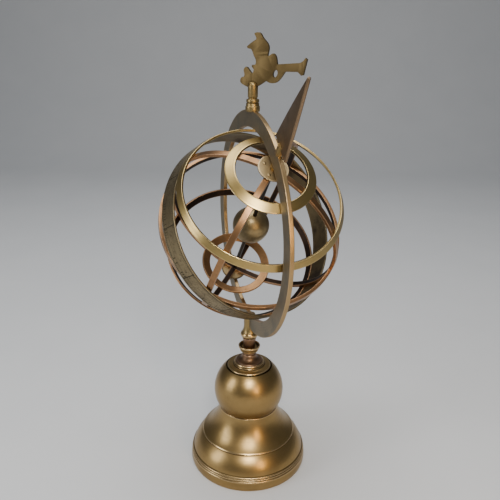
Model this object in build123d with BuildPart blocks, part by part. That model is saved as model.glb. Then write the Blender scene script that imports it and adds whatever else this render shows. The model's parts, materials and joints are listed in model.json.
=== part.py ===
from build123d import *
from math import cos, radians, sin, sqrt
import os

os.makedirs("parts", exist_ok=True)

# Fits
seat_gap = 0.05      # between pieces that are soldered, screwed or clamped together
run_gap = 0.08       # radial clearance of a turning fit
end_gap = 0.30       # axial clearance beside a turning piece

# Stand
foot_radius = 57.5
foot_rim_height = 10.2
foot_bead_radius = 56.6
foot_dome_radius = 51.2
foot_dome_height = 23.6
foot_step_radius = 45.66
foot_step_height = 32.46
foot_flare_dip = 3.0
foot_top_radius = 28.6
foot_top_height = 60.31
foot_seat_width = 3.0
foot_wall = 2.6
foot_rebate = 9.0
knop_radius = 33.6
knop_wall = 1.8
knop_seat_radius = 22.4
tie_radius = 3.0
nut_pocket = 2.4
plate_thickness = 4.0
felt_thickness = 1.0
collar_radius = 21.0
collar_height = 5.6
collar_step_radius = 14.6
neck_height = 10.2
neck_radius = 6.2
saucer_radius = 10.4
saucer_height = 6.6
waist_height = 8.6
waist_radius = 6.0
bead_radius = 8.5
bead_height = 6.0
tube_foot_radius = 6.3
tube_radius = 5.2
tube_height = 18.0
tube_grip = 12.6

# Fixed meridian ring and its axis
meridian_radius = 100.0
meridian_width = 14.2
meridian_thickness = 3.6
axis_tilt = 41.0
axis_radius = 1.75
stud_radius = 1.1
nut_across = 6.4
nut_height = 2.6
axis_collar_radius = 3.2
globe_radius = 16.3
set_screw_radius = 1.6
set_screw_length = 9.0
socket_radius = 3.4
socket_length = 7.0
blade_length = 70.0
blade_half_width = 13.6
blade_thickness = 2.6
blade_bevel = 0.9

# Turning cage
cage_radius = 81.6
bar_width = 5.2
bar_depth = 3.0
tropic_latitude = 34.4
tropic_width = 6.8
tropic_thickness = 2.0
polar_latitude = 66.6
polar_width = 8.4
antarctic_latitude = 67.4
antarctic_width = 8.0
zodiac_width = 19.7
zodiac_thickness = 1.4
obliquity = 27.0
colure_turn = 140.0
hub_radius = 12.4
hub_thickness = 1.2
rivet_circle = 8.0
rivet_radius = 0.9
rivet_head = 0.5

# Vane on top
clamp_radius = 6.1
clamp_height = 7.0
clamp_grip = 1.2
clamp_stud = 4.6
pivot_radius = 1.6
post_radius = 4.2
post_height = 16.4
post_flange = 5.4
post_flange_height = 2.7
vane_thickness = 2.0
vane_sink = 4.2
vane_turn = 42.0
cross_pin_radius = 0.8

# Places worked out from the sizes above
knop_centre = foot_top_height + sqrt(knop_radius**2 - foot_top_radius**2)
collar_base = knop_centre + sqrt(knop_radius**2 - knop_seat_radius**2)
neck_base = collar_base + collar_height
saucer_base = neck_base + neck_height
waist_base = saucer_base + saucer_height
bead_base = waist_base + waist_height
tube_base = bead_base + bead_height
slot_floor = tube_base + tube_height - tube_grip
ring_centre = slot_floor + seat_gap + meridian_radius
ring_inner = meridian_radius - meridian_width
ring_top = ring_centre + meridian_radius
cage_inner = cage_radius - bar_depth
lap_radius = cage_radius - bar_depth / 2
band_inner = cage_radius + seat_gap
antarctic_outer = sqrt((cage_inner - seat_gap)**2 - (antarctic_width / 2)**2)
antarctic_inner = antarctic_outer - tropic_thickness
hub_base = cage_radius + seat_gap
collar_near = hub_base + hub_thickness + end_gap
ring_pin_height = slot_floor + 0.35 * meridian_width
clamp_base = ring_top - clamp_grip
clamp_web = clamp_base + clamp_grip + 1.0
post_base = clamp_base + clamp_height + end_gap
vane_base = post_base + post_height - vane_sink
plate_base = felt_thickness + seat_gap

upright = Plane.XZ
axis_dir = Vector(sin(radians(axis_tilt)), 0, cos(radians(axis_tilt)))
side_dir = Vector(cos(radians(axis_tilt)), 0, -sin(radians(axis_tilt)))
centre = Vector(0, 0, ring_centre)
polar = Plane(origin=centre, x_dir=side_dir, z_dir=axis_dir)
cage = Plane(polar.location * Rot(Z=colure_turn))
ecliptic = Plane(cage.location * Rot(X=obliquity))
vane_dir = Vector(cos(radians(vane_turn)), sin(radians(vane_turn)), 0)
vane_plane = Plane(origin=(0, 0, vane_base), x_dir=vane_dir, z_dir=vane_dir.cross(Vector(0, 0, 1)))


def upright_at(height):
    return Plane(origin=(0, 0, height), x_dir=(1, 0, 0), z_dir=(0, -1, 0))


def save(part, label):
    part.label = label
    export_step(part, f"parts/{label}.step")


def section_of(plane):
    """Plane through the given plane's Z axis, with its own Y along that axis."""
    return Plane(origin=plane.origin, x_dir=plane.x_dir, z_dir=-plane.y_dir)


def axis_of(plane):
    return Axis(plane.origin, plane.z_dir)


def ring_band(plane, inner, outer, width, mode=Mode.ADD):
    """Flat-sided ring about the plane's Z axis, centred on the plane."""
    with BuildSketch(section_of(plane)) as profile:
        with Locations(((inner + outer) / 2, 0)):
            Rectangle(outer - inner, width)
    revolve(profile.sketch, axis_of(plane), mode=mode)


def cone_band(latitude, width, thickness, start, spare=0.0, mode=Mode.ADD):
    """Conical band at a latitude of the cage, from a start distance outward.

    A cutter gets spare width, and three times the thickness so that no skin is left.
    """
    middle = start + thickness / 2
    with BuildSketch(section_of(polar)) as profile:
        with Locations(Location((0, 0), latitude)):
            with Locations((middle, 0)):
                Rectangle(thickness * (3 if spare else 1), width + 2 * spare)
    revolve(profile.sketch, axis_of(polar), mode=mode)


# --- Stand: a foot, a knop and a turned stem, drawn together on one tie rod ---

def under_knop(radius):
    """Point on the seat that the ball rests in, at a distance from the axis."""
    reach = knop_radius + seat_gap
    return (radius, knop_centre - sqrt(reach**2 - radius**2))


# Cast foot, hollow from below, with a dished seat for the ball at its top
with BuildPart() as foot:
    rebate = foot_radius - foot_rebate
    bell_middle = ((foot_step_radius + foot_top_radius) / 2 - 0.84 * foot_flare_dip,
                   (foot_step_height + foot_top_height) / 2 - 0.54 * foot_flare_dip)
    with BuildSketch(upright):
        with BuildLine():
            sole = Line((rebate, 0), (foot_radius - 1.0, 0))
            rim = ThreePointArc(sole @ 1, (foot_radius, foot_rim_height * 0.32),
                                (foot_radius - 0.9, foot_rim_height))
            under = Line(rim @ 1, (foot_bead_radius - 0.7, foot_rim_height + 0.4))
            low_bead = ThreePointArc(under @ 1, (foot_bead_radius, foot_rim_height + 1.3),
                                     (foot_bead_radius - 0.9, foot_rim_height + 2.2))
            high_bead = ThreePointArc(low_bead @ 1, (foot_bead_radius - 0.5, foot_rim_height + 3.2),
                                      (foot_bead_radius - 1.5, foot_rim_height + 4.1))
            dome = ThreePointArc(high_bead @ 1, (foot_dome_radius, foot_dome_height),
                                 (foot_step_radius - 0.9, foot_step_height - 1.2))
            groove = Line(dome @ 1, (foot_step_radius - 0.4, foot_step_height - 0.6))
            lip = ThreePointArc(groove @ 1, (foot_step_radius, foot_step_height - 0.1),
                                (foot_step_radius - 0.4, foot_step_height + 0.4))
            bell = ThreePointArc(lip @ 1, bell_middle, under_knop(foot_top_radius))
            seat = ThreePointArc(bell @ 1, under_knop(foot_top_radius - foot_seat_width / 2),
                                 under_knop(foot_top_radius - foot_seat_width))
            Polyline(seat @ 1, (bell_middle[0] - foot_wall, bell_middle[1] - 0.6 * foot_wall),
                     (foot_step_radius - 1.2 * foot_wall, foot_step_height - 0.6 * foot_wall),
                     (foot_dome_radius - 1.3 * foot_wall, foot_dome_height),
                     (rebate, foot_rim_height + 1.8 * foot_wall), sole @ 0)
        make_face()
    revolve(axis=Axis.Z)
save(foot.part, "foot")

# Plate that closes the foot and takes the pull of the tie rod, with a pocket for its nut
with BuildPart() as base_plate:
    with Locations((0, 0, plate_base)):
        Cylinder(foot_radius - foot_rebate - seat_gap, plate_thickness,
                 align=(Align.CENTER, Align.CENTER, Align.MIN))
        Cylinder(tie_radius + 0.3, plate_thickness, mode=Mode.SUBTRACT,
                 align=(Align.CENTER, Align.CENTER, Align.MIN))
        Cylinder(2.4 * tie_radius, nut_pocket, mode=Mode.SUBTRACT,
                 align=(Align.CENTER, Align.CENTER, Align.MIN))
save(base_plate.part, "base_plate")

# Felt under the foot, flush with its edge
with BuildPart() as felt_pad:
    Cylinder(foot_radius - foot_rebate - seat_gap, felt_thickness,
             align=(Align.CENTER, Align.CENTER, Align.MIN))
save(felt_pad.part, "felt_pad")

# Tie rod from under the plate up into the stem
with BuildPart() as tie_rod:
    with Locations((0, 0, felt_thickness + seat_gap)):
        Cylinder(tie_radius, tube_base + 3.0 - felt_thickness - seat_gap,
                 align=(Align.CENTER, Align.CENTER, Align.MIN))
    chamfer(tie_rod.edges().group_by(Axis.Z)[0], 0.4)
    chamfer(tie_rod.edges().group_by(Axis.Z)[-1], 0.4)
save(tie_rod.part, "tie_rod")

with BuildPart() as tie_nut:
    with BuildSketch(Plane.XY.offset(plate_base + 0.2)):
        RegularPolygon(5.0, 6, major_radius=False)
        Circle(tie_radius + seat_gap, mode=Mode.SUBTRACT)
    extrude(amount=nut_pocket - 0.2 - seat_gap)
save(tie_nut.part, "tie_nut")

# Spun ball in the foot's seat, with a flat on top for the collar
with BuildPart() as knop_ball:
    with Locations((0, 0, knop_centre)):
        Sphere(knop_radius)
        Sphere(knop_radius - knop_wall, mode=Mode.SUBTRACT)
        Cylinder(tie_radius + 0.3, 2 * knop_radius, mode=Mode.SUBTRACT,
                 align=(Align.CENTER, Align.CENTER, Align.MAX))
    with Locations((0, 0, collar_base)):
        Cylinder(knop_radius, knop_radius, mode=Mode.SUBTRACT,
                 align=(Align.CENTER, Align.CENTER, Align.MIN))
save(knop_ball.part, "knop_ball")

# Stepped collar that closes the ball
with BuildPart() as ball_collar:
    with BuildSketch(upright_at(collar_base)):
        with BuildLine():
            under = Line((tie_radius + 0.3, seat_gap), (collar_radius - 0.6, seat_gap))
            brim = ThreePointArc(under @ 1, (collar_radius, 0.8), (collar_radius - 0.6, 1.5))
            cove = ThreePointArc(brim @ 1, (collar_step_radius + 2.4, 1.5),
                                 (collar_step_radius - 0.2, 2.6))
            low = ThreePointArc(cove @ 1, (collar_step_radius + 0.3, 3.1),
                                (collar_step_radius - 0.4, 3.6))
            high = ThreePointArc(low @ 1, (collar_step_radius, collar_height - 1.0),
                                 (collar_step_radius - 0.8, collar_height))
            Polyline(high @ 1, (tie_radius + 0.3, collar_height), under @ 0)
        make_face()
    revolve(axis=Axis.Z)
save(ball_collar.part, "ball_collar")

# Concave cone below the saucer
with BuildPart() as neck_cone:
    with BuildSketch(upright_at(neck_base)):
        with BuildLine():
            floor = Line((tie_radius + 0.3, seat_gap), (collar_step_radius - 1.2, seat_gap))
            flare = Spline(floor @ 1, (neck_radius + 2.6, neck_height * 0.34),
                           (neck_radius + 0.2, neck_height * 0.74), (neck_radius, neck_height))
            Polyline(flare @ 1, (tie_radius + 0.3, neck_height), floor @ 0)
        make_face()
    revolve(axis=Axis.Z)
save(neck_cone.part, "neck_cone")

# Saucer with a dished top
with BuildPart() as saucer:
    with BuildSketch(upright_at(saucer_base)):
        with BuildLine():
            floor = Line((tie_radius + 0.3, seat_gap), (neck_radius + 0.8, seat_gap))
            low = ThreePointArc(floor @ 1, (saucer_radius - 1.2, 1.1), (saucer_radius - 1.2, 2.6))
            high = Spline(low @ 1, (saucer_radius - 0.1, 4.0), (saucer_radius, saucer_height - 0.3))
            brim = Line(high @ 1, (saucer_radius - 0.8, saucer_height))
            dish = ThreePointArc(brim @ 1, (saucer_radius - 2.6, saucer_height - 2.0),
                                 (waist_radius + 0.2, saucer_height - 2.4))
            Polyline(dish @ 1, (tie_radius + 0.3, saucer_height - 2.4), floor @ 0)
        make_face()
    revolve(axis=Axis.Z)
save(saucer.part, "saucer")

# Waist, standing in the saucer's dish
with BuildPart() as waist:
    with BuildSketch(upright_at(waist_base)):
        with BuildLine():
            floor = Line((tie_radius + 0.3, -2.4 + seat_gap), (waist_radius - 0.4, -2.4 + seat_gap))
            side = Spline(floor @ 1, (waist_radius - 0.3, waist_height * 0.4),
                          (waist_radius + 0.9, waist_height))
            Polyline(side @ 1, (tie_radius + 0.3, waist_height), floor @ 0)
        make_face()
    revolve(axis=Axis.Z)
save(waist.part, "waist")

# Bead between the waist and the tube
with BuildPart() as bead_collar:
    with BuildSketch(upright_at(bead_base)):
        with BuildLine():
            floor = Line((tie_radius + 0.3, seat_gap), (bead_radius - 1.6, seat_gap))
            curve = ThreePointArc(floor @ 1, (bead_radius, bead_height * 0.55),
                                  (bead_radius - 1.4, bead_height))
            Polyline(curve @ 1, (tie_radius + 0.3, bead_height), floor @ 0)
        make_face()
    revolve(axis=Axis.Z)
save(bead_collar.part, "bead_collar")

# Stem tube, slotted at the top for the meridian ring
with BuildPart() as stem_tube:
    with BuildSketch(upright_at(tube_base)):
        with BuildLine():
            floor = Line((0, seat_gap), (tube_foot_radius + 0.6, seat_gap))
            side = Spline(floor @ 1, (tube_foot_radius, 1.4), (tube_radius + 0.2, tube_height * 0.6),
                          (tube_radius, tube_height))
            Polyline(side @ 1, (0, tube_height), floor @ 0)
        make_face()
    revolve(axis=Axis.Z)
    with Locations((0, 0, tube_base + seat_gap)):
        Cylinder(tie_radius + seat_gap, 3.4, mode=Mode.SUBTRACT,
                 align=(Align.CENTER, Align.CENTER, Align.MIN))
    with BuildSketch(Plane.XZ.offset(-meridian_thickness / 2 - seat_gap)):
        with Locations((0, ring_centre)):
            Circle(meridian_radius + seat_gap)
    extrude(amount=meridian_thickness + 2 * seat_gap, mode=Mode.SUBTRACT)
    with Locations(Location((0, 0, ring_pin_height), (90, 0, 0))):
        Cylinder(cross_pin_radius + seat_gap, 4 * tube_radius, mode=Mode.SUBTRACT)
save(stem_tube.part, "stem_tube")

# --- Fixed meridian ring with the polar axis through it ---

with BuildPart() as meridian_ring:
    with BuildSketch(Plane.XZ.offset(-meridian_thickness / 2)):
        with Locations((0, ring_centre)):
            Circle(meridian_radius)
            Circle(ring_inner, mode=Mode.SUBTRACT)
    extrude(amount=meridian_thickness)
    chamfer(meridian_ring.edges().filter_by(GeomType.CIRCLE), 0.3)
    with Locations(polar.location):
        Cylinder(stud_radius + seat_gap, 2.5 * meridian_radius, mode=Mode.SUBTRACT)
    with Locations(Location((0, 0, ring_pin_height), (90, 0, 0))):
        Cylinder(cross_pin_radius + seat_gap, 4 * tube_radius, mode=Mode.SUBTRACT)
    with Locations((0, 0, ring_top)):
        Cylinder(cross_pin_radius + seat_gap, 2 * clamp_stud, mode=Mode.SUBTRACT)
save(meridian_ring.part, "meridian_ring")

with BuildPart() as ring_pin:
    with Locations(Location((0, 0, ring_pin_height), (90, 0, 0))):
        Cylinder(cross_pin_radius, 2 * tube_radius - 0.2)
save(ring_pin.part, "ring_pin")

# Axis rod, shouldered between two threaded studs
with BuildPart(polar) as axis_rod:
    Cylinder(axis_radius, 2 * (ring_inner - 0.1))
    Cylinder(stud_radius, 2 * (meridian_radius + nut_height + 0.4))
    with Locations((0, 0, meridian_radius + nut_height)):
        Cylinder(stud_radius, socket_length / 2, align=(Align.CENTER, Align.CENTER, Align.MIN))
save(axis_rod.part, "axis_rod")

with BuildPart(polar) as axis_nuts:
    for side in (1, -1):
        base = meridian_radius + seat_gap if side > 0 else -meridian_radius - seat_gap - nut_height
        with BuildSketch(polar.offset(base)):
            RegularPolygon(nut_across / 2, 6, major_radius=False)
            Circle(stud_radius + seat_gap, mode=Mode.SUBTRACT)
        extrude(amount=nut_height)
save(axis_nuts.part, "axis_nuts")

# Collars that keep the cage midway along the rod
with BuildPart(polar) as axis_collars:
    length = ring_inner - 0.4 - collar_near
    for side in (1, -1):
        with Locations((0, 0, side * (collar_near + length / 2))):
            Cylinder(axis_collar_radius, length)
            Cylinder(axis_radius + seat_gap / 2, length, mode=Mode.SUBTRACT)
save(axis_collars.part, "axis_collars")

# Globe on the middle of the rod, held by a set screw
with BuildPart(polar) as globe:
    Sphere(globe_radius)
    Cylinder(axis_radius + seat_gap / 2, 3 * globe_radius, mode=Mode.SUBTRACT)
    with Locations(Location((0, globe_radius / 2 + axis_radius, 0), (90, 0, 0))):
        Cylinder(set_screw_radius + seat_gap, globe_radius, mode=Mode.SUBTRACT)
save(globe.part, "globe")

with BuildPart(polar) as globe_screw:
    start = axis_radius + seat_gap
    with Locations(Location((0, start + set_screw_length / 2, 0), (90, 0, 0))):
        Cylinder(set_screw_radius, set_screw_length)
    with Locations((0, start + set_screw_length, 0)):
        Box(2 * set_screw_radius + 1, 1.6, 0.5, mode=Mode.SUBTRACT)
save(globe_screw.part, "globe_screw")

# Arrow socket, screwed on the north stud and split for the blade
blade_base = meridian_radius + nut_height + 2 * seat_gap + 2.0
with BuildPart(polar) as arrow_socket:
    with Locations((0, 0, meridian_radius + nut_height + 2 * seat_gap)):
        Cylinder(socket_radius, socket_length, align=(Align.CENTER, Align.CENTER, Align.MIN))
        Cylinder(stud_radius + seat_gap, socket_length / 2 + 0.2, mode=Mode.SUBTRACT,
                 align=(Align.CENTER, Align.CENTER, Align.MIN))
    with Locations((0, 0, blade_base + socket_length)):
        Box(3 * socket_radius, blade_thickness + 2 * seat_gap, 2 * socket_length - 3.4,
            mode=Mode.SUBTRACT)
save(arrow_socket.part, "arrow_socket")

# Arrow blade in the plane of the meridian ring, with its long edges bevelled
blade_start = blade_base + 1.7 + seat_gap
blade_plane = Plane(origin=centre, x_dir=side_dir, z_dir=Vector(0, -1, 0))
with BuildPart() as arrow_blade:
    with BuildSketch(blade_plane.offset(-blade_thickness / 2)):
        with BuildLine():
            tail = Line((-blade_half_width, blade_start), (blade_half_width, blade_start))
            right = ThreePointArc(tail @ 1, (blade_half_width * 0.59, blade_start + blade_length * 0.5),
                                  (1.1, blade_start + blade_length))
            mirror(right, about=Plane.YZ)
            Line(right @ 1, (-1.1, blade_start + blade_length))
        make_face()
    extrude(amount=blade_thickness)
    chamfer(arrow_blade.edges().filter_by(GeomType.CIRCLE), blade_bevel)
save(arrow_blade.part, "arrow_blade")

# --- Turning cage: hoops lapped at every crossing, bands laid over them ---

equinox = Plane(origin=centre, x_dir=cage.z_dir, z_dir=cage.y_dir)
solstice = Plane(origin=centre, x_dir=cage.z_dir, z_dir=cage.x_dir)


def pole_holes(radius):
    with Locations(polar.location):
        Cylinder(radius, 3 * cage_radius, mode=Mode.SUBTRACT)


def rivet_holes():
    for turn in range(4):
        with Locations(cage.location * Rot(Z=90 * turn)):
            with Locations((rivet_circle, 0, 0)):
                Cylinder(rivet_radius + seat_gap, 3 * cage_radius, mode=Mode.SUBTRACT)


with BuildPart() as equinox_colure:
    ring_band(equinox, cage_inner, cage_radius, bar_width)
    ring_band(polar, lap_radius, cage_radius + 1, bar_width + 2 * seat_gap, Mode.SUBTRACT)
    ring_band(solstice, cage_inner - 1, lap_radius + seat_gap, bar_width + 2 * seat_gap,
              Mode.SUBTRACT)
    pole_holes(axis_radius + 0.3)
    rivet_holes()
save(equinox_colure.part, "equinox_colure")

with BuildPart() as solstice_colure:
    ring_band(solstice, cage_inner, cage_radius, bar_width)
    ring_band(polar, lap_radius, cage_radius + 1, bar_width + 2 * seat_gap, Mode.SUBTRACT)
    ring_band(equinox, lap_radius, cage_radius + 1, bar_width + 2 * seat_gap, Mode.SUBTRACT)
    pole_holes(axis_radius + 0.3)
    rivet_holes()
save(solstice_colure.part, "solstice_colure")

with BuildPart() as equator_ring:
    ring_band(polar, cage_inner, cage_radius, bar_width)
    for hoop in (equinox, solstice):
        ring_band(hoop, cage_inner - 1, lap_radius + seat_gap, bar_width + 2 * seat_gap,
                  Mode.SUBTRACT)
save(equator_ring.part, "equator_ring")

with BuildPart() as upper_tropic:
    cone_band(tropic_latitude, tropic_width, tropic_thickness, band_inner)
save(upper_tropic.part, "upper_tropic")

with BuildPart() as lower_tropic:
    cone_band(-tropic_latitude, tropic_width, tropic_thickness, band_inner)
save(lower_tropic.part, "lower_tropic")

with BuildPart() as arctic_ring:
    cone_band(polar_latitude, polar_width, tropic_thickness, band_inner)
save(arctic_ring.part, "arctic_ring")

# The lower polar ring lies inside the hoops
with BuildPart() as antarctic_ring:
    cone_band(-antarctic_latitude, antarctic_width, tropic_thickness, antarctic_inner)
save(antarctic_ring.part, "antarctic_ring")

# Zodiac band, scalloped where the tropics pass over its edges
with BuildPart() as zodiac_band:
    ring_band(ecliptic, band_inner, band_inner + zodiac_thickness, zodiac_width)
    for latitude in (tropic_latitude, -tropic_latitude):
        cone_band(latitude, tropic_width, tropic_thickness, band_inner, 2 * seat_gap, Mode.SUBTRACT)
save(zodiac_band.part, "zodiac_band")


def hub(side):
    with Locations(polar.location):
        with Locations((0, 0, side * (hub_base + hub_thickness / 2))):
            Cylinder(hub_radius, hub_thickness)
            Cylinder(axis_radius + run_gap, hub_thickness, mode=Mode.SUBTRACT)
    rivet_holes()


with BuildPart() as north_hub:
    hub(1)
save(north_hub.part, "north_hub")

with BuildPart() as south_hub:
    hub(-1)
save(south_hub.part, "south_hub")

# Rivets through the hubs and hoops
with BuildPart() as hub_rivets:
    rivet_top = hub_base + hub_thickness + seat_gap
    rivet_foot = sqrt(cage_inner**2 - rivet_circle**2) - rivet_head
    for turn in range(4):
        for side in (1, -1):
            with Locations(cage.location * Rot(Z=90 * turn)):
                with Locations((rivet_circle, 0, side * (rivet_top + rivet_foot) / 2)):
                    Cylinder(rivet_radius, rivet_top - rivet_foot)
                with Locations((rivet_circle, 0, side * (rivet_top + rivet_head / 2))):
                    Cylinder(rivet_radius * 1.6, rivet_head)
save(hub_rivets.part, "hub_rivets")

# --- Vane: a figure with a horn, on a post that swivels on the ring's clamp ---

with BuildPart() as ring_clamp:
    with BuildSketch(upright_at(clamp_base)):
        with BuildLine():
            floor = Line((0, 0), (clamp_radius - 0.4, 0))
            side = Line(floor @ 1, (clamp_radius, 0.6))
            tall = Line(side @ 1, (clamp_radius, clamp_height - 2.8))
            step = Line(tall @ 1, (clamp_radius - 0.6, clamp_height - 2.4))
            Polyline(step @ 1, (clamp_radius - 0.6, clamp_height - 0.3),
                     (clamp_radius - 1.2, clamp_height), (0, clamp_height), floor @ 0)
        make_face()
    revolve(axis=Axis.Z)
    with BuildSketch(Plane.XZ.offset(-meridian_thickness / 2 - seat_gap)):
        with Locations((0, ring_centre)):
            Circle(meridian_radius + seat_gap)
    extrude(amount=meridian_thickness + 2 * seat_gap, mode=Mode.SUBTRACT)
    with Locations((0, 0, clamp_base + clamp_height)):
        Cylinder(pivot_radius + seat_gap / 2, clamp_height - clamp_grip - 1.0, mode=Mode.SUBTRACT,
                 align=(Align.CENTER, Align.CENTER, Align.MAX))
    with Locations((0, 0, ring_top)):
        Cylinder(cross_pin_radius + seat_gap, 4.0, mode=Mode.SUBTRACT)
save(ring_clamp.part, "ring_clamp")

# Stud that holds the clamp on the ring, below the pivot
with BuildPart() as clamp_pin:
    with Locations((0, 0, clamp_web)):
        Cylinder(cross_pin_radius, clamp_stud, align=(Align.CENTER, Align.CENTER, Align.MAX))
save(clamp_pin.part, "clamp_pin")

with BuildPart() as vane_pivot:
    with Locations((0, 0, clamp_web + seat_gap)):
        Cylinder(pivot_radius, post_base + 5.0 - clamp_web,
                 align=(Align.CENTER, Align.CENTER, Align.MIN))
save(vane_pivot.part, "vane_pivot")

with BuildPart() as vane_post:
    with BuildSketch(upright_at(post_base)):
        with BuildLine():
            floor = Line((0, 0), (post_flange - 0.4, 0))
            side = Polyline(floor @ 1, (post_flange, 0.4), (post_flange, post_flange_height - 0.4),
                            (post_flange - 0.4, post_flange_height),
                            (post_radius - 0.4, post_flange_height),
                            (post_radius - 0.4, post_flange_height + 1.2),
                            (post_radius, post_flange_height + 1.8),
                            (post_radius, post_height - 2.0))
            top = ThreePointArc(side @ 1, (post_radius - 0.7, post_height - 0.6), (1.6, post_height))
            Polyline(top @ 1, (0, post_height), floor @ 0)
        make_face()
    revolve(axis=Axis.Z)
    with Locations((0, 0, post_base)):
        Cylinder(pivot_radius + run_gap, 5.4, mode=Mode.SUBTRACT,
                 align=(Align.CENTER, Align.CENTER, Align.MIN))
    with Locations(Location((0, 0, vane_base - seat_gap), (0, 0, vane_turn))):
        Box(4 * post_radius, vane_thickness + 2 * seat_gap, post_height, mode=Mode.SUBTRACT,
            align=(Align.CENTER, Align.CENTER, Align.MIN))
    with Locations(vane_plane.location * Pos(0, 2.0, 0)):
        Cylinder(cross_pin_radius + seat_gap, 4 * post_radius, mode=Mode.SUBTRACT)
save(vane_post.part, "vane_post")

with BuildPart() as vane_pin:
    with Locations(vane_plane.location * Pos(0, 2.0, 0)):
        Cylinder(cross_pin_radius, 2 * post_radius - 1.4)
save(vane_pin.part, "vane_pin")

# Flat cut-out of a winged child blowing a horn
with BuildPart() as vane_figure:
    with BuildSketch(vane_plane.offset(-vane_thickness / 2)):
        with BuildLine():
            chest = Spline((1.6, 0), (5.6, 1.4), (9.4, 3.6), (12.6, 5.6))
            arm = Spline(chest @ 1, (16.8, 4.0), (21.6, 4.6), (26.0, 8.4), (29.6, 13.2))
            tube = Line(arm @ 1, (40.4, 13.4))
            lip = Spline(tube @ 1, (42.0, 12.2), (43.4, 10.8))
            bell = Polyline(lip @ 1, (45.4, 11.2), (48.2, 23.0), (46.6, 24.0))
            throat = Spline(bell @ 1, (44.6, 21.6), (41.8, 20.2))
            lips = Line(throat @ 1, (22.4, 18.6))
            face = Spline(lips @ 1, (21.8, 21.6), (20.8, 24.8), (18.6, 26.6), (15.8, 25.4),
                          (13.4, 24.6))
            wing = Spline(face @ 1, (14.0, 27.4), (14.4, 31.6), (12.0, 35.4), (8.8, 38.6),
                          (7.0, 41.2), (4.2, 42.2))
            tips = Spline(wing @ 1, (1.4, 40.6), (2.6, 38.8), (2.8, 36.8))
            down = Spline(tips @ 1, (-0.8, 34.8), (-5.6, 31.4))
            root = Spline(down @ 1, (-4.6, 30.0), (-2.2, 29.6), (0.6, 25.2), (2.8, 21.0),
                          (2.4, 17.8))
            hip = Polyline(root @ 1, (-0.8, 17.4), (-0.8, 16.0), (1.0, 13.8), (0.2, 10.6))
            knee = Spline(hip @ 1, (-3.2, 13.4), (-6.4, 15.8), (-8.4, 13.4), (-7.8, 10.4),
                          (-8.4, 7.8))
            heel = Spline(knee @ 1, (-11.0, 6.8), (-11.6, 4.0), (-8.4, 1.4), (-4.6, 0))
            Line(heel @ 1, chest @ 0)
        make_face()
        with Locations(Location((20.8, 11.4), -20)):
            Ellipse(2.0, 3.0, mode=Mode.SUBTRACT)
    extrude(amount=vane_thickness)
    with Locations(vane_plane.location * Pos(0, 2.0, 0)):
        Cylinder(cross_pin_radius + seat_gap, 4 * post_radius, mode=Mode.SUBTRACT)
save(vane_figure.part, "vane_figure")
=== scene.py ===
import json
import math

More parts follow.
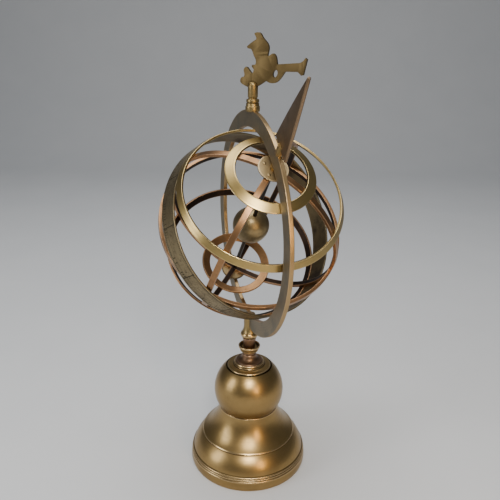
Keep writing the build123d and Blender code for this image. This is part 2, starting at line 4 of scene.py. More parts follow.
import bpy
import numpy as np
from mathutils import Matrix, Vector
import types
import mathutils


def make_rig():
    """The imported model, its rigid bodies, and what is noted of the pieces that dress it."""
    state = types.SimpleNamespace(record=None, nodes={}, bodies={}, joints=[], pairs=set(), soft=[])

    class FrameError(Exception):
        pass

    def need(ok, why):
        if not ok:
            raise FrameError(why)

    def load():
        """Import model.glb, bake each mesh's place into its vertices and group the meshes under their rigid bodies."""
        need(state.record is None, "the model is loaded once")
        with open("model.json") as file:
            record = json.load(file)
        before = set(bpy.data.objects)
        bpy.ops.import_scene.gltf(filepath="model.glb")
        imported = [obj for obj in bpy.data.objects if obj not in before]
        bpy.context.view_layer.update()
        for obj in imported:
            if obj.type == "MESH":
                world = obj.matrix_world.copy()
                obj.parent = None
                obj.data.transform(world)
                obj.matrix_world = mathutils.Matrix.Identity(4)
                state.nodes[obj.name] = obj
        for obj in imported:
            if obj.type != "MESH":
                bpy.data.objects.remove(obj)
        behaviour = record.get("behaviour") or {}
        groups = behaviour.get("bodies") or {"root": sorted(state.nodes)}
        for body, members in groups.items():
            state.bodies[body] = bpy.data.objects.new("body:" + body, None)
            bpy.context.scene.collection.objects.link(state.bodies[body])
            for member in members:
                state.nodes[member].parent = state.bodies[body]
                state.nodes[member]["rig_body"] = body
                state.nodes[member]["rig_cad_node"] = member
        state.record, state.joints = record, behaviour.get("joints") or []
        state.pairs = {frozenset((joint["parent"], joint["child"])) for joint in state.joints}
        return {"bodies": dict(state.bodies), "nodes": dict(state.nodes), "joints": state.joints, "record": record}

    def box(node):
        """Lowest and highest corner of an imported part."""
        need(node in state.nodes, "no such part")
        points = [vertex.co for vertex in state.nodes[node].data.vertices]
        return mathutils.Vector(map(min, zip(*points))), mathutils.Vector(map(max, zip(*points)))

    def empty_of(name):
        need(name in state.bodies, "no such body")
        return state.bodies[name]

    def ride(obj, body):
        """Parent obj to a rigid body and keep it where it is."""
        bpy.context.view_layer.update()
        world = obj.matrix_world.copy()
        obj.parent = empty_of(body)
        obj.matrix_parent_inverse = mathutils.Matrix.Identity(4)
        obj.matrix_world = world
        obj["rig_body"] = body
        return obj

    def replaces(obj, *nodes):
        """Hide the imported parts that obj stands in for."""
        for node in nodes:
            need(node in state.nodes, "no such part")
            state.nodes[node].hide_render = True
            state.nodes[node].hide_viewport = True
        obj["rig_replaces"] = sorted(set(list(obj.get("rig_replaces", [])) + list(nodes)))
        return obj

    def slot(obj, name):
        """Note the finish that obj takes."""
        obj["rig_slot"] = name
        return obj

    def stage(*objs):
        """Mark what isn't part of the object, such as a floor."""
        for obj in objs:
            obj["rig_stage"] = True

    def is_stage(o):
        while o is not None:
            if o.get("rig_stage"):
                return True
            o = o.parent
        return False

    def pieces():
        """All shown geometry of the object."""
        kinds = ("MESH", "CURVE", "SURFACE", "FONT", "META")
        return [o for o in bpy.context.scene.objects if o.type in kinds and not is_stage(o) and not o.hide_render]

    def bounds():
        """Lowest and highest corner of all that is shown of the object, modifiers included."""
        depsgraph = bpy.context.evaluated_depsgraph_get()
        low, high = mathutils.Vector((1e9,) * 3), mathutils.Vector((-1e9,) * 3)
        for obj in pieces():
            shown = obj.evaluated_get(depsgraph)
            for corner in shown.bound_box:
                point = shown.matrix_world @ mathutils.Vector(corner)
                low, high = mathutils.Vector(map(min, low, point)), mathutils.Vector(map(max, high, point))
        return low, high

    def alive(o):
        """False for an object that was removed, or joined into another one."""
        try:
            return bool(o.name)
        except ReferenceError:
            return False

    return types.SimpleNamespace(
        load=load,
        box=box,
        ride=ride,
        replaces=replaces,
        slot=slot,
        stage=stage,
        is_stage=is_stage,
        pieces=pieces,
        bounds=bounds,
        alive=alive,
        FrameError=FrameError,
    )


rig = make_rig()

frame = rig.load()
startSize = [list(corner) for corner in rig.bounds()]
mm = 0.001


# Where things are, read from the frame
def middle(node):
    low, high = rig.box(node)
    return (low + high) / 2


def extent(node):
    low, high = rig.box(node)
    return high - low


ringCentre = middle("globe")
spinAxis = next(Vector(joint["axis"]) for joint in frame["joints"] if joint["name"] == "cage_spin")
spinAxis.normalize()
spinSide = Vector((spinAxis.z, 0, -spinAxis.x))


def placeAlong(origin, zAxis, xAxis):
    z = zAxis.normalized()
    x = (xAxis - z * xAxis.dot(z)).normalized()
    y = z.cross(x)
    turn = Matrix((x, y, z)).transposed()
    return Matrix.Translation(origin) @ turn.to_4x4()


polarPlace = placeAlong(ringCentre, spinAxis, spinSide)
cageTurn = math.radians(140)
obliquity = math.radians(27)
cagePlace = polarPlace @ Matrix.Rotation(cageTurn, 4, "Z")
eclipticPlace = cagePlace @ Matrix.Rotation(obliquity, 4, "X")
equinoxPlace = cagePlace @ Matrix.Rotation(math.radians(90), 4, "X")
solsticePlace = cagePlace @ Matrix.Rotation(math.radians(90), 4, "Y")
meridianPlace = Matrix.Translation(ringCentre) @ Matrix.Rotation(math.radians(90), 4, "X")


# Shader values that can be added, scaled and compared like numbers
class Value:
    def __init__(self, tree, socket):
        self.tree = tree
        self.socket = socket

    def plug(self, other, target):
        if isinstance(other, Value):
            self.tree.links.new(other.socket, target)
        else:
            target.default_value = other

    def apply(self, operation, *others):
        node = self.tree.nodes.new("ShaderNodeMath")
        node.operation = operation
        for value, target in zip((self, *others), node.inputs):
            self.plug(value, target)
        return Value(self.tree, node.outputs[0])

    def __add__(self, other):
        return self.apply("ADD", other)

    def __radd__(self, other):
        return self.apply("ADD", other)

    def __sub__(self, other):
        return self.apply("SUBTRACT", other)

    def __mul__(self, other):
        return self.apply("MULTIPLY", other)

    def __truediv__(self, other):
        return self.apply("DIVIDE", other)

    def ramp(self, low, high, start=0.0, end=1.0):
        node = self.tree.nodes.new("ShaderNodeMapRange")
        node.interpolation_type = "SMOOTHSTEP"
        for value, target in zip((self, low, high, start, end), node.inputs):
            self.plug(value, target)
        return Value(self.tree, node.outputs[0])

    def near(self, target, width):
        return (self - target).apply("ABSOLUTE").ramp(width * 0.5, width, 1.0, 0.0)

    def repeats(self, count):
        return (self * count).apply("FRACT")

    def clear(self):
        return self.apply("MAXIMUM", 0.0).apply("MINIMUM", 1.0)


# One material's node tree, with the inputs that every pattern here starts from
class Surface:
    def __init__(self, name):
        self.material = bpy.data.materials.new(name)
        self.material.use_nodes = True
        self.tree = self.material.node_tree
        self.shader = self.tree.nodes["Principled BSDF"]
        spot = self.node("ShaderNodeAttribute", {"attribute_name": "spot"})
        facing = self.node("ShaderNodeAttribute", {"attribute_name": "facing"})
        self.point = spot.outputs["Vector"]
        self.x, self.y, self.z = self.split(self.point)
        normals = self.split(facing.outputs["Vector"])
        self.across = (self.x * self.x + self.y * self.y).apply("SQRT").apply("MAXIMUM", 1e-6)
        self.angle = self.y.apply("ARCTAN2", self.x)
        self.faceUp = normals[2].apply("ABSOLUTE")
        self.outward = (self.x * normals[0] + self.y * normals[1]) / self.across

    def node(self, kind, settings=None, **inputs):
        node = self.tree.nodes.new(kind)
        for key, value in (settings or {}).items():
            setattr(node, key, value)
        for key, value in inputs.items():
            self.link(value, node.inputs[key])
        return node

    def link(self, value, target):
        if isinstance(value, Value):
            value = value.socket
        if isinstance(value, bpy.types.NodeSocket):
            self.tree.links.new(value, target)
        else:
            target.default_value = value

    def split(self, socket):
        node = self.node("ShaderNodeSeparateXYZ", Vector=socket)
        return [Value(self.tree, output) for output in node.outputs]

    def join(self, x, y, z):
        return self.node("ShaderNodeCombineXYZ", X=x, Y=y, Z=z).outputs[0]

    def noise(self, scale, detail=4.0, rough=0.55, vector=None):
        node = self.node("ShaderNodeTexNoise", Vector=vector or self.point, Scale=scale,
                         Detail=detail, Roughness=rough)
        return Value(self.tree, node.outputs["Fac"])

    def cells(self, scale, vector):
        node = self.node("ShaderNodeTexVoronoi", Vector=vector, Scale=scale)
        return Value(self.tree, node.outputs["Distance"])

    def attribute(self, name):
        node = self.node("ShaderNodeAttribute", {"attribute_name": name})
        return Value(self.tree, node.outputs["Fac"])

    def mix(self, amount, first, second):
        node = self.node("ShaderNodeMix", {"data_type": "RGBA"})
        self.link(amount, node.inputs[0])
        for colour, target in ((first, node.inputs[6]), (second, node.inputs[7])):
            self.link((*colour, 1.0) if isinstance(colour, tuple) else colour, target)
        return node.outputs[2]


# Grain left by turning on a lathe, or by a belt on flat stock
def turnedGrain(surface, fineness):
    around = surface.join(surface.angle.apply("COSINE") * 0.9, surface.angle.apply("SINE") * 0.9,
                          (surface.z + surface.across * 0.8) * fineness)
    return surface.noise(1.0, 3.0, 0.6, around)


def brushedGrain(surface, fineness, direction):
    scales = [fineness if axis != direction else fineness * 0.03 for axis in "xyz"]
    return surface.noise(1.0, 3.0, 0.6, surface.join(surface.x * scales[0], surface.y * scales[1],
                                                     surface.z * scales[2]))


def antiqueBrass(name, tone, patina, rough=0.3, grain="turned", fineness=2600.0, mottle=0.35,
                 innerShade=0.0, flatFaceShade=0.0, edgeLight=0.5, engrave=None, grainDepth=0.06):
    surface = Surface(name)
    if grain == "turned":
        lines = turnedGrain(surface, fineness)
    else:
        lines = brushedGrain(surface, fineness, grain)
    cloud = surface.noise(46.0, 5.0, 0.6)
    speck = surface.noise(620.0, 3.0, 0.7)
    relief = surface.attribute("relief")
    worn = relief.ramp(0.05, 0.8) * edgeLight
    grime = (relief * -1.0).ramp(0.05, 0.7)
    dark = cloud.ramp(0.42, 0.72) * mottle + speck.ramp(0.6, 0.78) * mottle * 0.35 + grime * 0.85
    dark = dark + lines.ramp(0.5, 0.8) * 0.16
    # painted shade: faces turned in towards the ring's centre are darkened towards the patina colour, standing in for
    # the shade inside the cage
    if innerShade:
        dark = dark + (surface.outward * -1.0).ramp(0.3, 0.8) * innerShade
    # painted shade and reflection: faces whose normals lie along the piece's own axis are darkened towards the grey
    # patina colour, standing in for the dark grey reflection they show
    if flatFaceShade:
        dark = dark + surface.faceUp.ramp(0.6, 0.95) * flatFaceShade
    dark = (dark - worn * 0.8).clear()
    colour = surface.mix(dark, tone, patina)
    light = tuple(min(1.0, channel * 1.25 + 0.06) for channel in tone)
    colour = surface.mix(worn, colour, light)
    height = lines * grainDepth + speck * 0.03
    roughness = rough + dark * 0.2 + lines * 0.1 - worn * 0.06
    if engrave:
        cut = engrave(surface)
        colour = surface.mix(cut * 0.85, colour, (0.012, 0.01, 0.008))
        height = height - cut * 1.0
        roughness = roughness + cut * 0.25
    surface.link(colour, surface.shader.inputs["Base Color"])
    surface.link(roughness.clear(), surface.shader.inputs["Roughness"])
    surface.shader.inputs["Metallic"].default_value = 1.0
    bump = surface.node("ShaderNodeBump", Strength=0.35, Distance=0.00025, Height=height)
    surface.link(bump.outputs[0], surface.shader.inputs["Normal"])
    return surface.material


# Zodiac engraving: borders, degree ticks, twelve fields, star dots and plain stroke marks
def zodiacCuts(surface):
    width = 19.7 * mm
    turn = surface.angle / (2 * math.pi) + 0.5
    rise = surface.z / width
    border = rise.near(0.43, 0.014) + rise.near(-0.43, 0.014) + rise.near(-0.16, 0.009)
    border = border + rise.near(0.36, 0.007) + rise.near(-0.36, 0.007)
    degree = turn.repeats(360.0).near(0.5, 0.28) * (rise.apply("ABSOLUTE").near(0.395, 0.05))
    fields = turn.repeats(12.0).near(0.5, 0.012) * rise.apply("ABSOLUTE").ramp(0.42, 0.44, 1.0, 0.0)
    place = surface.join(turn * 520.0, rise * 20.0, 0.0)
    stars = surface.cells(0.42, place).ramp(0.1, 0.2, 1.0, 0.0) * rise.near(0.1, 0.36)
    figure = surface.noise(0.16, 2.0, 0.5, place).near(0.5, 0.012) * rise.near(0.1, 0.36)
    slot = (turn * 240.0).apply("FLOOR")
    chance = surface.noise(3.7, 0.0, 0.5, surface.join(slot * 7.31, 0.0, 0.0))
    stroke = turn.repeats(240.0).near(0.5, 0.2)
    strokes = stroke * chance.ramp(0.46, 0.5) * rise.near(-0.26, 0.12)
    bars = rise.near(-0.24, 0.02) * chance.ramp(0.5, 0.54) * turn.repeats(240.0).near(0.5, 0.6)
    inWord = turn.repeats(12.0).near(0.0, 0.9)
    cuts = border + degree + fields + stars * 0.8 + figure * 0.7 + (strokes + bars) * inWord
    return cuts.clear() * surface.outward.ramp(0.4, 0.7)


# Small punched dots on the lower polar ring
def punchDots(surface):
    place = surface.join(surface.angle * 6.0, surface.z * 400.0, 0.0)
    return surface.cells(1.6, place).ramp(0.08, 0.16, 1.0, 0.0) * 0.7


print("materials")
finish = {
    "spun_brass": antiqueBrass("spunBrass", (0.34, 0.225, 0.088), (0.07, 0.046, 0.02), 0.27,
                               fineness=3200.0, mottle=0.25, edgeLight=1.0, grainDepth=0.1),
    "collar_brass": antiqueBrass("collarBrass", (0.36, 0.24, 0.095), (0.07, 0.046, 0.022), 0.27,
                                 edgeLight=0.9),
    "neck_bronze": antiqueBrass("neckBronze", (0.23, 0.135, 0.075), (0.07, 0.042, 0.026), 0.3),
    "stem_brass": antiqueBrass("stemBrass", (0.29, 0.205, 0.085), (0.06, 0.045, 0.022), 0.32),
    # flatFaceShade paints a grey shade on the meridian ring's broad flat faces
    "meridian_brass": antiqueBrass("meridianBrass", (0.40, 0.27, 0.13), (0.16, 0.14, 0.10), 0.3,
                                   fineness=1500.0, flatFaceShade=0.8, mottle=0.3, edgeLight=0.35),
    "globe_brass": antiqueBrass("globeBrass", (0.33, 0.245, 0.12), (0.10, 0.08, 0.05), 0.3,
                                mottle=0.9),
    "arrow_brass": antiqueBrass("arrowBrass", (0.23, 0.15, 0.085), (0.05, 0.035, 0.022), 0.33,
                                grain="z", fineness=1800.0, mottle=0.5, edgeLight=0.35),
    # innerShade paints shade on the inward faces of the hoops, bands and zodiac band
    "hoop_copper": antiqueBrass("hoopCopper", (0.33, 0.18, 0.085), (0.03, 0.02, 0.015), 0.28,
                                innerShade=0.95, edgeLight=0.55, mottle=0.45),
    "gilt_band": antiqueBrass("giltBand", (0.42, 0.30, 0.115), (0.06, 0.042, 0.022), 0.25,
                              innerShade=0.9, edgeLight=0.85, mottle=0.2),
    "polar_copper": antiqueBrass("polarCopper", (0.33, 0.18, 0.08), (0.08, 0.04, 0.02), 0.3,
                                 mottle=0.5, engrave=punchDots),
    "zodiac_brass": antiqueBrass("zodiacBrass", (0.24, 0.185, 0.095), (0.05, 0.038, 0.026), 0.34,
                                 innerShade=0.45, mottle=0.6, engrave=zodiacCuts),
    "hub_brass": antiqueBrass("hubBrass", (0.33, 0.24, 0.12), (0.09, 0.065, 0.035), 0.34, mottle=0.6),
    "vane_brass": antiqueBrass("vaneBrass", (0.12, 0.082, 0.034), (0.06, 0.042, 0.018), 0.40,
                               grain="z", fineness=1600.0, mottle=0.4, edgeLight=0.45),
}


def plainSurface(name, first, second, rough, metal, scale):
    surface = Surface(name)
    pattern = surface.noise(scale, 5.0, 0.6)
    surface.link(surface.mix(pattern, first, second), surface.shader.inputs["Base Color"])
    surface.link(pattern * 0.2 + rough, surface.shader.inputs["Roughness"])
    surface.shader.inputs["Metallic"].default_value = metal
    bump = surface.node("ShaderNodeBump", Strength=0.3, Distance=0.0003, Height=pattern)
    surface.link(bump.outputs[0], surface.shader.inputs["Normal"])
    return surface.material


finish["iron"] = plainSurface("castIron", (0.05, 0.05, 0.05), (0.12, 0.11, 0.1), 0.5, 1.0, 400.0)
finish["steel"] = plainSurface("zincSteel", (0.45, 0.45, 0.46), (0.3, 0.3, 0.3), 0.3, 1.0, 300.0)
finish["dark_steel"] = plainSurface("blackSteel", (0.02, 0.018, 0.016), (0.06, 0.05, 0.04), 0.3,
                                    1.0, 300.0)
finish["felt"] = plainSurface("greenFelt", (0.02, 0.09, 0.05), (0.04, 0.14, 0.08), 0.75, 0.0,
                              1500.0)


# Meshes
def addMesh(name, points, faces):
    mesh = bpy.data.meshes.new(name)
    mesh.from_pydata([tuple(point) for point in points], [], faces)
    mesh.update()
    made = bpy.data.objects.new(name, mesh)
    bpy.context.scene.collection.objects.link(made)
    return made


# Moves a mesh to its place and keeps, for its patterns, where it was drawn and how it faced
def settle(piece, place=None):
    mesh = piece.data
    places = np.zeros(len(mesh.vertices) * 3, np.float32)
    mesh.vertices.foreach_get("co", places)
    normals = np.zeros(len(mesh.polygons) * 3, np.float32)
    mesh.polygons.foreach_get("normal", normals)
    for name, domain, values in (("spot", "POINT", places), ("facing", "FACE", normals)):
        kept = mesh.attributes.new(name, "FLOAT_VECTOR", domain)
        kept.data.foreach_set("vector", values)
    if place is not None:
        mesh.transform(place)


def shadeSmooth(piece, degrees=32.0):
    mesh = piece.data
    mesh.polygons.foreach_set("use_smooth", [True] * len(mesh.polygons))
    mesh.set_sharp_from_angle(angle=math.radians(degrees))


# How far each point of an outline stands out (+1) or lies in a corner (-1)
def wear(curve, closed):
    points = np.array(curve, float)
    reach = 0.9 * mm
    steps = np.linalg.norm(np.diff(points, axis=0, append=points[:1]), axis=1)
    total = steps.sum()
    run = np.concatenate(([0.0], np.cumsum(steps)))[: len(points)]

    def at(distance):
        if closed:
            distance = distance % total
            line = np.vstack((points, points[:1]))
            return np.array([np.interp(distance, np.append(run, total), line[:, k]) for k in (0, 1)])
        distance = np.clip(distance, 0, run[-1])
        return np.array([np.interp(distance, run, points[:, k]) for k in (0, 1)])

    before = at(run - reach).T
    after = at(run + reach).T
    back = points - before
    ahead = after - points
    turn = back[:, 0] * ahead[:, 1] - back[:, 1] * ahead[:, 0]
    return np.clip(turn / (reach * reach) * 1.6, -1, 1)


# Outline in metres from corners in mm: radius, height, fillet, bulge on the way to the next
def roundOff(corners, closed=False):
    full = [(*corner, 0, 0)[:4] for corner in corners]
    count = len(full)
    line = []
    for index, (r, z, fillet, _) in enumerate(full):
        here = np.array((r, z), float)
        ends = not closed and index in (0, count - 1)
        before = np.array(full[index - 1][:2], float)
        after = np.array(full[(index + 1) % count][:2], float)
        if fillet and not ends:
            first = here + (before - here) / np.linalg.norm(before - here) * fillet
            last = here + (after - here) / np.linalg.norm(after - here) * fillet
            piece = [first * (1 - t) ** 2 + here * 2 * t * (1 - t) + last * t**2
                     for t in np.linspace(0, 1, 7)]
        else:
            piece = [here]
        line.append(piece)
    points = []
    for index in range(count if closed else count - 1):
        start = line[index][-1]
        end = line[(index + 1) % count][0]
        bulge = full[index][3]
        points += line[index]
        length = np.linalg.norm(end - start)
        steps = max(2, int(length / (0.5 if bulge else 1.2)))
        normal = np.array((end[1] - start[1], start[0] - end[0])) / max(length, 1e-9)
        points += [start * (1 - t) + end * t + normal * bulge * 4 * t * (1 - t)
                   for t in np.linspace(0, 1, steps + 1)[1:-1]]
    if not closed:
        points += line[-1]
    return np.array(points) * mm


def lathe(name, corners, place, node, slot, body="stand", steps=256, closed=False):
    outline = roundOff(corners, closed)
    relief = wear(outline, closed)
    rows = len(outline)
    turns = np.linspace(0, 2 * math.pi, steps, endpoint=False)
    points = [(r * math.cos(t), r * math.sin(t), z) for t in turns for r, z in outline]
    last = rows if closed else rows - 1
    faces = [(a * rows + k, (a + 1) % steps * rows + k,
              (a + 1) % steps * rows + (k + 1) % rows, a * rows + (k + 1) % rows)
             for a in range(steps) for k in range(last)]
    piece = addMesh(name, points, faces)
    settle(piece, place)
    mark = piece.data.attributes.new("relief", "FLOAT", "POINT")
    mark.data.foreach_set("value", np.tile(relief, steps).astype(np.float32))
    piece.data.materials.append(finish[slot])
    shadeSmooth(piece)
    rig.slot(piece, slot)
    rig.replaces(piece, node)
    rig.ride(piece, body)
    return piece


def arcPoints(radius, low, high, steps):
    return [(radius * math.cos(turn), radius * math.sin(turn))
            for turn in np.radians(np.linspace(low, high, steps))]


# Edges of a flat-sided CAD piece rounded; the narrow new faces are marked as worn
def edged(node, slot, width=0.35, segments=2):
    source = frame["nodes"][node]
    copy = bpy.data.objects.new(node + "Worn", source.data.copy())
    bpy.context.scene.collection.objects.link(copy)
    copy.data.materials.clear()
    copy.data.materials.append(finish[slot])
    copy.data.materials.append(finish[slot])
    weld = copy.modifiers.new("weld", "WELD")
    weld.merge_threshold = 0.00001
    bevel = copy.modifiers.new("bevel", "BEVEL")
    bevel.width = width * mm
    bevel.segments = segments
    bevel.limit_method = "ANGLE"
    bevel.angle_limit = math.radians(35)
    bevel.material = 1
    bpy.context.view_layer.update()
    graph = bpy.context.evaluated_depsgraph_get()
    mesh = bpy.data.meshes.new_from_object(copy.evaluated_get(graph))
    copy.modifiers.clear()
    copy.data = mesh
    indices = np.zeros(len(mesh.polygons), np.int32)
    mesh.polygons.foreach_get("material_index", indices)
    mark = mesh.attributes.new("relief", "FLOAT", "FACE")
    mark.data.foreach_set("value", (indices > 0).astype(np.float32))
    mesh.polygons.foreach_set("material_index", np.zeros(len(indices), np.int32))
    mesh.materials.pop(index=1)
    settle(copy)
    shadeSmooth(copy, 22)
    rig.slot(copy, slot)
    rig.replaces(copy, node)
    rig.ride(copy, source["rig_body"])
    return copy


# Node group that sweeps a rounded bar around a circle, with its edges marked as worn
def buildHoopGroup():
    group = bpy.data.node_groups.new("Hoop", "GeometryNodeTree")
    for name, kind in (("Radius", "Float"), ("Latitude", "Float"), ("Thickness", "Float"),
                       ("Width", "Float"), ("Bevel", "Float"), ("Material", "Material")):
        group.interface.new_socket(name, in_out="INPUT", socket_type="NodeSocket" + kind)
    group.interface.new_socket("Mesh", in_out="OUTPUT", socket_type="NodeSocketGeometry")
    nodes, links = group.nodes, group.links
    given = nodes.new("NodeGroupInput").outputs

    def add(kind, settings=None, values=None):
        node = nodes.new(kind)
        for key, value in (settings or {}).items():
            setattr(node, key, value)
        for key, value in (values or {}).items():
            if isinstance(value, bpy.types.NodeSocket):
                links.new(value, node.inputs[key])
            else:
                node.inputs[key].default_value = value
        return node

    def sums(operation, first, second=0.0):
        return add("ShaderNodeMath", {"operation": operation}, {0: first, 1: second}).outputs[0]

    circle = add("GeometryNodeCurvePrimitiveCircle", None, {
        "Resolution": 256, "Radius": sums("MULTIPLY", given["Radius"],
                                          sums("COSINE", given["Latitude"]))})
    section = add("GeometryNodeCurvePrimitiveQuadrilateral", None,
                  {"Width": given["Thickness"], "Height": given["Width"]})
    rounded = add("GeometryNodeFilletCurve", {"mode": "POLY"}, {
        "Curve": section.outputs[0], "Count": 4, "Radius": given["Bevel"]})
    finer = add("GeometryNodeSubdivideCurve", None, {"Curve": rounded.outputs[0], "Cuts": 6})
    place = add("GeometryNodeInputPosition")
    parts = add("ShaderNodeSeparateXYZ", None, {0: place.outputs[0]})
    gaps = [sums("SUBTRACT", sums("MULTIPLY", given[name], 0.5), sums("ABSOLUTE", parts.outputs[k]))
            for k, name in enumerate(("Thickness", "Width"))]
    reach = sums("DIVIDE", sums("MAXIMUM", gaps[0], gaps[1]), 0.0006)
    edge = sums("MAXIMUM", sums("SUBTRACT", 1.0, reach), 0.0)
    marked = add("GeometryNodeStoreNamedAttribute", {"data_type": "FLOAT", "domain": "POINT"}, {
        "Geometry": finer.outputs[0], "Name": "relief", "Value": edge})
    lean = add("ShaderNodeCombineXYZ", None, {"Z": sums("MULTIPLY", given["Latitude"], -1.0)})
    leaning = add("GeometryNodeTransform", None, {"Geometry": marked.outputs[0],
                                                  "Rotation": lean.outputs[0]})
    swept = add("GeometryNodeCurveToMesh", None, {
        "Curve": circle.outputs[0], "Profile Curve": leaning.outputs[0]})
    rise = add("ShaderNodeCombineXYZ", None, {
        "Z": sums("MULTIPLY", given["Radius"], sums("SINE", given["Latitude"]))})
    lifted = add("GeometryNodeTransform", None, {"Geometry": swept.outputs[0],
                                                 "Translation": rise.outputs[0]})
    coated = add("GeometryNodeSetMaterial", None, {"Geometry": lifted.outputs[0],
                                                   "Material": given["Material"]})
    links.new(coated.outputs[0], nodes.new("NodeGroupOutput").inputs[0])
    return group


# Node group that sets rivet heads around a circle
def buildRivetGroup():
    group = bpy.data.node_groups.new("Rivets", "GeometryNodeTree")
    for name, kind in (("Count", "Int"), ("Circle", "Float"), ("Head", "Float"),
                       ("Lift", "Float"), ("Material", "Material")):
        group.interface.new_socket(name, in_out="INPUT", socket_type="NodeSocket" + kind)
    group.interface.new_socket("Mesh", in_out="OUTPUT", socket_type="NodeSocketGeometry")
    nodes, links = group.nodes, group.links
    given = nodes.new("NodeGroupInput").outputs

    def join(source, node, key):
        links.new(source, node.inputs[key])
        return node

    ring = join(given["Count"], nodes.new("GeometryNodeMeshCircle"), "Vertices")
    join(given["Circle"], ring, "Radius")
    ball = join(given["Head"], nodes.new("GeometryNodeMeshUVSphere"), "Radius")
    flat = join(ball.outputs[0], nodes.new("GeometryNodeTransform"), "Geometry")
    flat.inputs["Scale"].default_value = (1.0, 1.0, 0.42)
    spots = join(ring.outputs[0], nodes.new("GeometryNodeInstanceOnPoints"), "Points")
    join(flat.outputs[0], spots, "Instance")
    solid = join(spots.outputs[0], nodes.new("GeometryNodeRealizeInstances"), "Geometry")
    height = join(given["Lift"], nodes.new("ShaderNodeCombineXYZ"), "Z")
    moved = join(solid.outputs[0], nodes.new("GeometryNodeTransform"), "Geometry")
    join(height.outputs[0], moved, "Translation")
    coated = join(moved.outputs[0], nodes.new("GeometryNodeSetMaterial"), "Geometry")
    join(given["Material"], coated, "Material")
    links.new(coated.outputs[0], nodes.new("NodeGroupOutput").inputs[0])
    return group


def grow(name, group, inputs, place):
    piece = addMesh(name, [], [])
    modifier = piece.modifiers.new("nodes", "NODES")
    modifier.node_group = group
    keys = {item.name: item.identifier for item in group.interface.items_tree
            if item.in_out == "INPUT"}
    for key, value in inputs.items():
        modifier[keys[key]] = value
    bpy.context.view_layer.update()
    graph = bpy.context.evaluated_depsgraph_get()
    mesh = bpy.data.meshes.new_from_object(piece.evaluated_get(graph))
    piece.modifiers.clear()
    piece.data = mesh
    settle(piece, place)
    shadeSmooth(piece)
    return piece


hoopGroup = buildHoopGroup()
rivetGroup = buildRivetGroup()


def hoop(name, node, slot, body, place, radius, thickness, width, latitude=0.0, bevel=0.35):
    piece = grow(name, hoopGroup, {
        "Radius": radius * mm, "Latitude": math.radians(latitude), "Thickness": thickness * mm,
        "Width": width * mm, "Bevel": bevel * mm, "Material": finish[slot]}, place)
    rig.slot(piece, slot)
    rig.replaces(piece, node)
    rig.ride(piece, body)
    return piece


print("stand")
stem = Matrix.Identity(4)
knopRadius = extent("knop_ball").x / 2 / mm
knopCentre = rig.box("knop_ball")[0].z / mm + knopRadius
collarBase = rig.box("knop_ball")[1].z / mm

lathe("footTurned", [
    (48.5, 0, 0.3), (56.6, 0, 0.5), (57.4, 3.2, 2.0), (56.8, 9.6, 0.5), (56.1, 10.2, 0.2),
    (55.9, 10.6, 0.2), (56.6, 11.0, 0.4), (56.4, 12.0, 0.4), (55.6, 12.4, 0.2),
    (55.4, 12.7, 0.2), (56.1, 13.0, 0.4), (55.9, 13.9, 0.4), (55.0, 14.4, 0.25, 1.3),
    (44.9, 31.1, 0.3), (44.7, 31.5, 0.25), (45.3, 31.8, 0.25), (45.65, 32.4, 0.35),
    (45.1, 33.0, 0.3, -3.0), (28.6, 60.2, 0.3),
    (25.6, 56.2), (32.0, 43.2), (42.4, 30.8), (47.8, 23.6), (48.5, 14.8)],
    stem, "foot", "spun_brass", steps=320, closed=True)
lathe("knopTurned", [(x, z + knopCentre) for x, z in arcPoints(knopRadius, -84, 48.3, 110)],
      stem, "knop_ball", "spun_brass", steps=320)
lathe("collarTurned", [
    (3.4, 0.1), (20.4, 0.1, 0.3), (21.0, 0.7, 0.4), (20.5, 1.5, 0.4), (19.6, 1.5, 0.3, -0.25),
    (14.6, 2.4, 0.3), (14.9, 3.0, 0.3), (14.4, 3.55, 0.25), (14.0, 3.75, 0.2), (14.3, 4.4, 0.4),
    (13.9, 5.3, 0.4), (13.2, 5.6, 0.3), (3.4, 5.6)],
    Matrix.Translation((0, 0, collarBase * mm)), "ball_collar", "collar_brass")
lathe("neckTurned", [(3.4, 0.1), (13.4, 0.1, 0.3), (12.6, 0.8, 0.5, -1.9), (6.3, 7.4, 0.6),
                     (6.2, 10.15), (3.4, 10.15)],
      Matrix.Translation((0, 0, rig.box("neck_cone")[0].z)), "neck_cone", "neck_bronze")
lathe("saucerTurned", [(3.4, 0.1), (7.0, 0.1, 0.3, 0.6), (9.2, 2.4, 0.3), (9.0, 2.9, 0.3, 0.3),
                       (10.3, 4.9, 0.5), (10.4, 6.2, 0.4), (9.7, 6.6, 0.35, -0.9),
                       (6.4, 4.25), (3.4, 4.25)],
      Matrix.Translation((0, 0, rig.box("saucer")[0].z)), "saucer", "collar_brass")
lathe("waistTurned", [(3.4, 0.1), (5.6, 0.1, 0.2), (5.65, 5.4, 2.0), (6.9, 10.8, 0.2), (3.4, 10.9)],
      Matrix.Translation((0, 0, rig.box("waist")[0].z)), "waist", "neck_bronze")
lathe("beadTurned", [(3.4, 0.0), (6.8, 0.0, 0.2, 1.5), (7.0, 5.9, 0.2), (3.4, 5.9)],
      Matrix.Translation((0, 0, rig.box("bead_collar")[0].z)), "bead_collar", "collar_brass")

print("meridian ring, axis and globe")
hoop("meridianHoop", "meridian_ring", "meridian_brass", "stand", meridianPlace, 92.9, 14.2, 3.6,
     bevel=0.4)
lathe("globeTurned", [(1.8, -16.2), *arcPoints(16.3, -83.6, 83.6, 70), (1.8, 16.2)], polarPlace,
      "globe", "globe_brass", steps=160)
edged("stem_tube", "stem_brass", 0.3)
edged("arrow_blade", "arrow_brass", 0.5)

print("cage")
hoop("equinoxHoop", "equinox_colure", "hoop_copper", "cage", equinoxPlace, 80.1, 3.0, 5.2)
hoop("solsticeHoop", "solstice_colure", "hoop_copper", "cage", solsticePlace, 80.08, 3.0, 5.2)
hoop("equatorHoop", "equator_ring", "hoop_copper", "cage", polarPlace, 80.06, 3.0, 5.2)
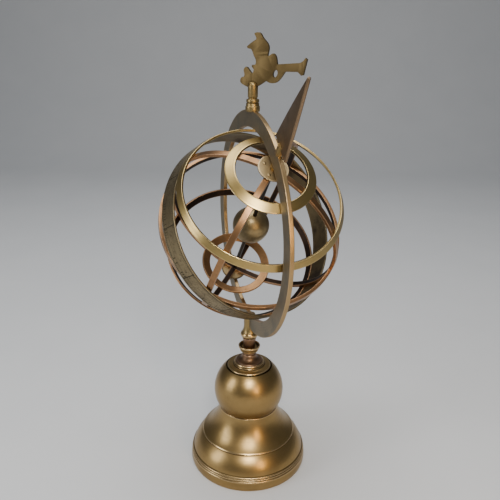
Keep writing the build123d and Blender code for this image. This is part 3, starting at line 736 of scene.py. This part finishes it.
# Bands laid over the hoops, and the lower polar ring inside them
for name, node, radius, latitude, width, slot in (
        ("upperTropicHoop", "upper_tropic", 82.65, 34.4, 6.8, "gilt_band"),
        ("lowerTropicHoop", "lower_tropic", 82.65, -34.4, 6.8, "hoop_copper"),
        ("arcticHoop", "arctic_ring", 82.65, 66.6, 8.4, "gilt_band"),
        ("antarcticHoop", "antarctic_ring", 77.45, -67.4, 8.0, "polar_copper")):
    hoop(name, node, slot, "cage", polarPlace, radius, 2.0, width, latitude)
hoop("zodiacHoop", "zodiac_band", "zodiac_brass", "cage", eclipticPlace, 82.35, 1.4, 19.7,
     bevel=0.25)
for side, node in ((1, "north_hub"), (-1, "south_hub")):
    base = 81.65 * side
    top = 82.85 * side
    lathe(node + "Disc", [(1.85, base), (12.4, base, 0.2), (12.4, top, 0.3), (1.85, top, 0.2)],
          polarPlace, node, "hub_brass", "cage", 128, True)
for side in (1, -1):
    piece = grow(f"rivetHeads{side + 1}", rivetGroup, {
        "Count": 4, "Circle": 8.0 * mm, "Head": 1.44 * mm, "Lift": side * 82.9 * mm,
        "Material": finish["hub_brass"]}, cagePlace)
    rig.slot(piece, "hub_brass")
    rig.ride(piece, "cage")
    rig.replaces(piece, "hub_rivets")

print("vane")
edged("vane_figure", "vane_brass", 0.35)
edged("vane_post", "stem_brass", 0.25)
edged("ring_clamp", "stem_brass", 0.3)

print("kept pieces")
keptSlots = {part["node"]: part["material_slot"] for part in frame["record"]["subparts"]}
for node, piece in frame["nodes"].items():
    if piece.name in bpy.data.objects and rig.alive(piece):
        piece.data.materials.clear()
        piece.data.materials.append(finish[keptSlots[node]])
        settle(piece)

print("stage")
# Floor that curves up into a backdrop behind the object, across the camera's line of sight
viewFrom = Vector((0.4695, -0.1518, 0.4024))
awayFlat = Vector((-0.9519, 0.3066, 0.0))
sweepRadius = 0.7
curveStart = 1.3
floorNear = -2.5
wallTop = 3.0
halfWidth = 3.5
profile = [(floorNear, 0.0), (curveStart, 0.0)]
for turn in np.radians(np.linspace(4, 90, 22)):
    profile.append((curveStart + sweepRadius * math.sin(turn), sweepRadius * (1 - math.cos(turn))))
profile.append((curveStart + sweepRadius, wallTop))
sideways = awayFlat.cross(Vector((0, 0, 1)))
stagePoints = [awayFlat * along + sideways * side + Vector((0, 0, high))
               for along, high in profile for side in (-halfWidth, halfWidth)]
floor = addMesh("floor", stagePoints, [(2 * k, 2 * k + 1, 2 * k + 3, 2 * k + 2)
                                       for k in range(len(profile) - 1)])
settle(floor)
shadeSmooth(floor, 60)
ground = Surface("paleFloor")
cloudy = ground.noise(9.0, 4.0, 0.5)
ground.link(ground.mix(cloudy, (0.60, 0.61, 0.62), (0.55, 0.565, 0.58)),
            ground.shader.inputs["Base Color"])
ground.shader.inputs["Roughness"].default_value = 0.7
floor.data.materials.append(ground.material)
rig.stage(floor)

world = bpy.data.worlds.new("studio")
bpy.context.scene.world = world
world.use_nodes = True
world.node_tree.nodes["Background"].inputs["Color"].default_value = (0.72, 0.76, 0.82, 1)
world.node_tree.nodes["Background"].inputs["Strength"].default_value = 0.2


def areaLight(name, place, aim, size, watts, colour=(1, 1, 1), shape=None):
    lamp = bpy.data.lights.new(name, "AREA")
    lamp.energy = watts
    lamp.color = colour
    lamp.size = size
    if shape:
        lamp.shape = "RECTANGLE"
        lamp.size_y = shape
    made = bpy.data.objects.new(name, lamp)
    bpy.context.scene.collection.objects.link(made)
    made.location = place
    made.rotation_euler = (Vector(aim) - Vector(place)).to_track_quat("-Z", "Y").to_euler()


areaLight("windowLight", (0.85, -0.22, 0.85), (0, 0, 0.15), 0.30, 9, (1.0, 0.97, 0.92), 0.34)
areaLight("ceilingLight", (-0.2, 0.0, 1.5), (0, 0, 0.1), 1.1, 17)
areaLight("leftLight", (0.1, -1.1, 0.5), (0, 0, 0.2), 0.35, 5, (0.95, 0.97, 1.0), 0.7)
areaLight("warmLight", (0.75, 0.12, 0.35), (0, 0, 0.12), 0.08, 1.6, (1.0, 0.66, 0.3), 0.3)

lens = bpy.data.cameras.new("photoView")
lens.lens = 41.9
lens.sensor_width = 36.0
viewer = bpy.data.objects.new("photoView", lens)
bpy.context.scene.collection.objects.link(viewer)
right = Vector((0.302, 0.9532, 0.0129)).normalized()
ahead = Vector((-0.8938, 0.2879, -0.344)).normalized()
up = right.cross(ahead).normalized()
viewer.matrix_world = Matrix.Translation(viewFrom) @ Matrix(
    (right, up, -ahead)).transposed().to_4x4()
bpy.context.scene.camera = viewer

endSize = [list(corner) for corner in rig.bounds()]
with open("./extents.json", "w") as handle:
    json.dump({"start": startSize, "end": endSize}, handle)
